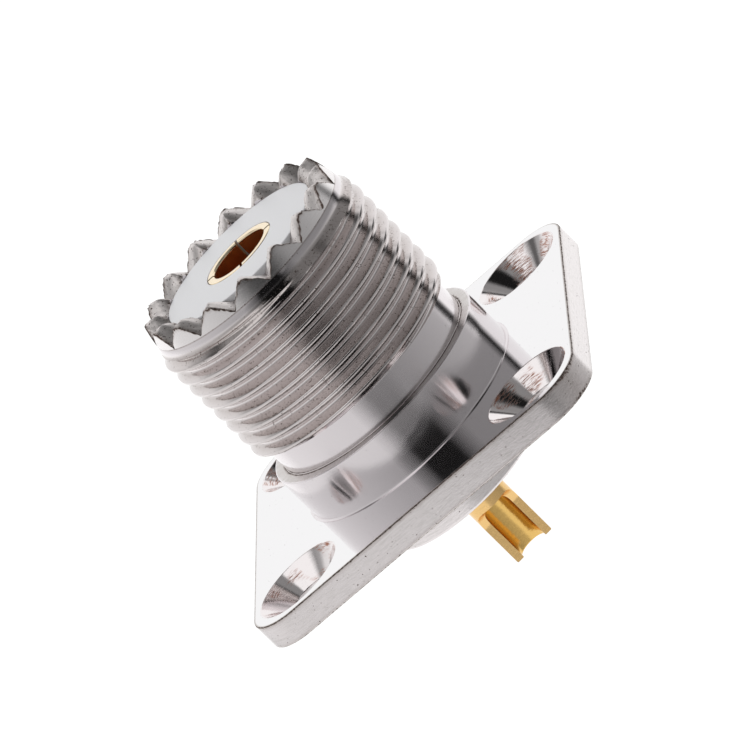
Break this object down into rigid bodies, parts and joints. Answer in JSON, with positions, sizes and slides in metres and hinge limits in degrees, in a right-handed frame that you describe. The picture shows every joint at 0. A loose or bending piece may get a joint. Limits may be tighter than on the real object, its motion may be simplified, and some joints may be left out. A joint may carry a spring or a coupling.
{
  "type": "uhf panel socket",
  "caption": "Coaxial panel socket: square flange with countersunk screw holes, threaded barrel with a toothed rim, slotted centre contact and rear solder cup.",
  "frame": {"origin": "centre of the four screw holes, in the plane of the flange's back face", "axes": "+Z along the connector's axis towards the toothed mating rim; X and Y parallel to the flange's sides"},
  "size_m": [0.0254, 0.0254, 0.0268],
  "materials": {
    "nickel_plate": "bright nickel plate on turned brass",
    "ptfe": "turned white PTFE",
    "gold_plate": "gold plate on turned brass"
  },
  "bodies": {
    "root": {"shell": "nickel_plate", "front_insulator": "ptfe", "rear_insulator": "ptfe", "centre_contact": "gold_plate"}
  },
  "joints": []
}
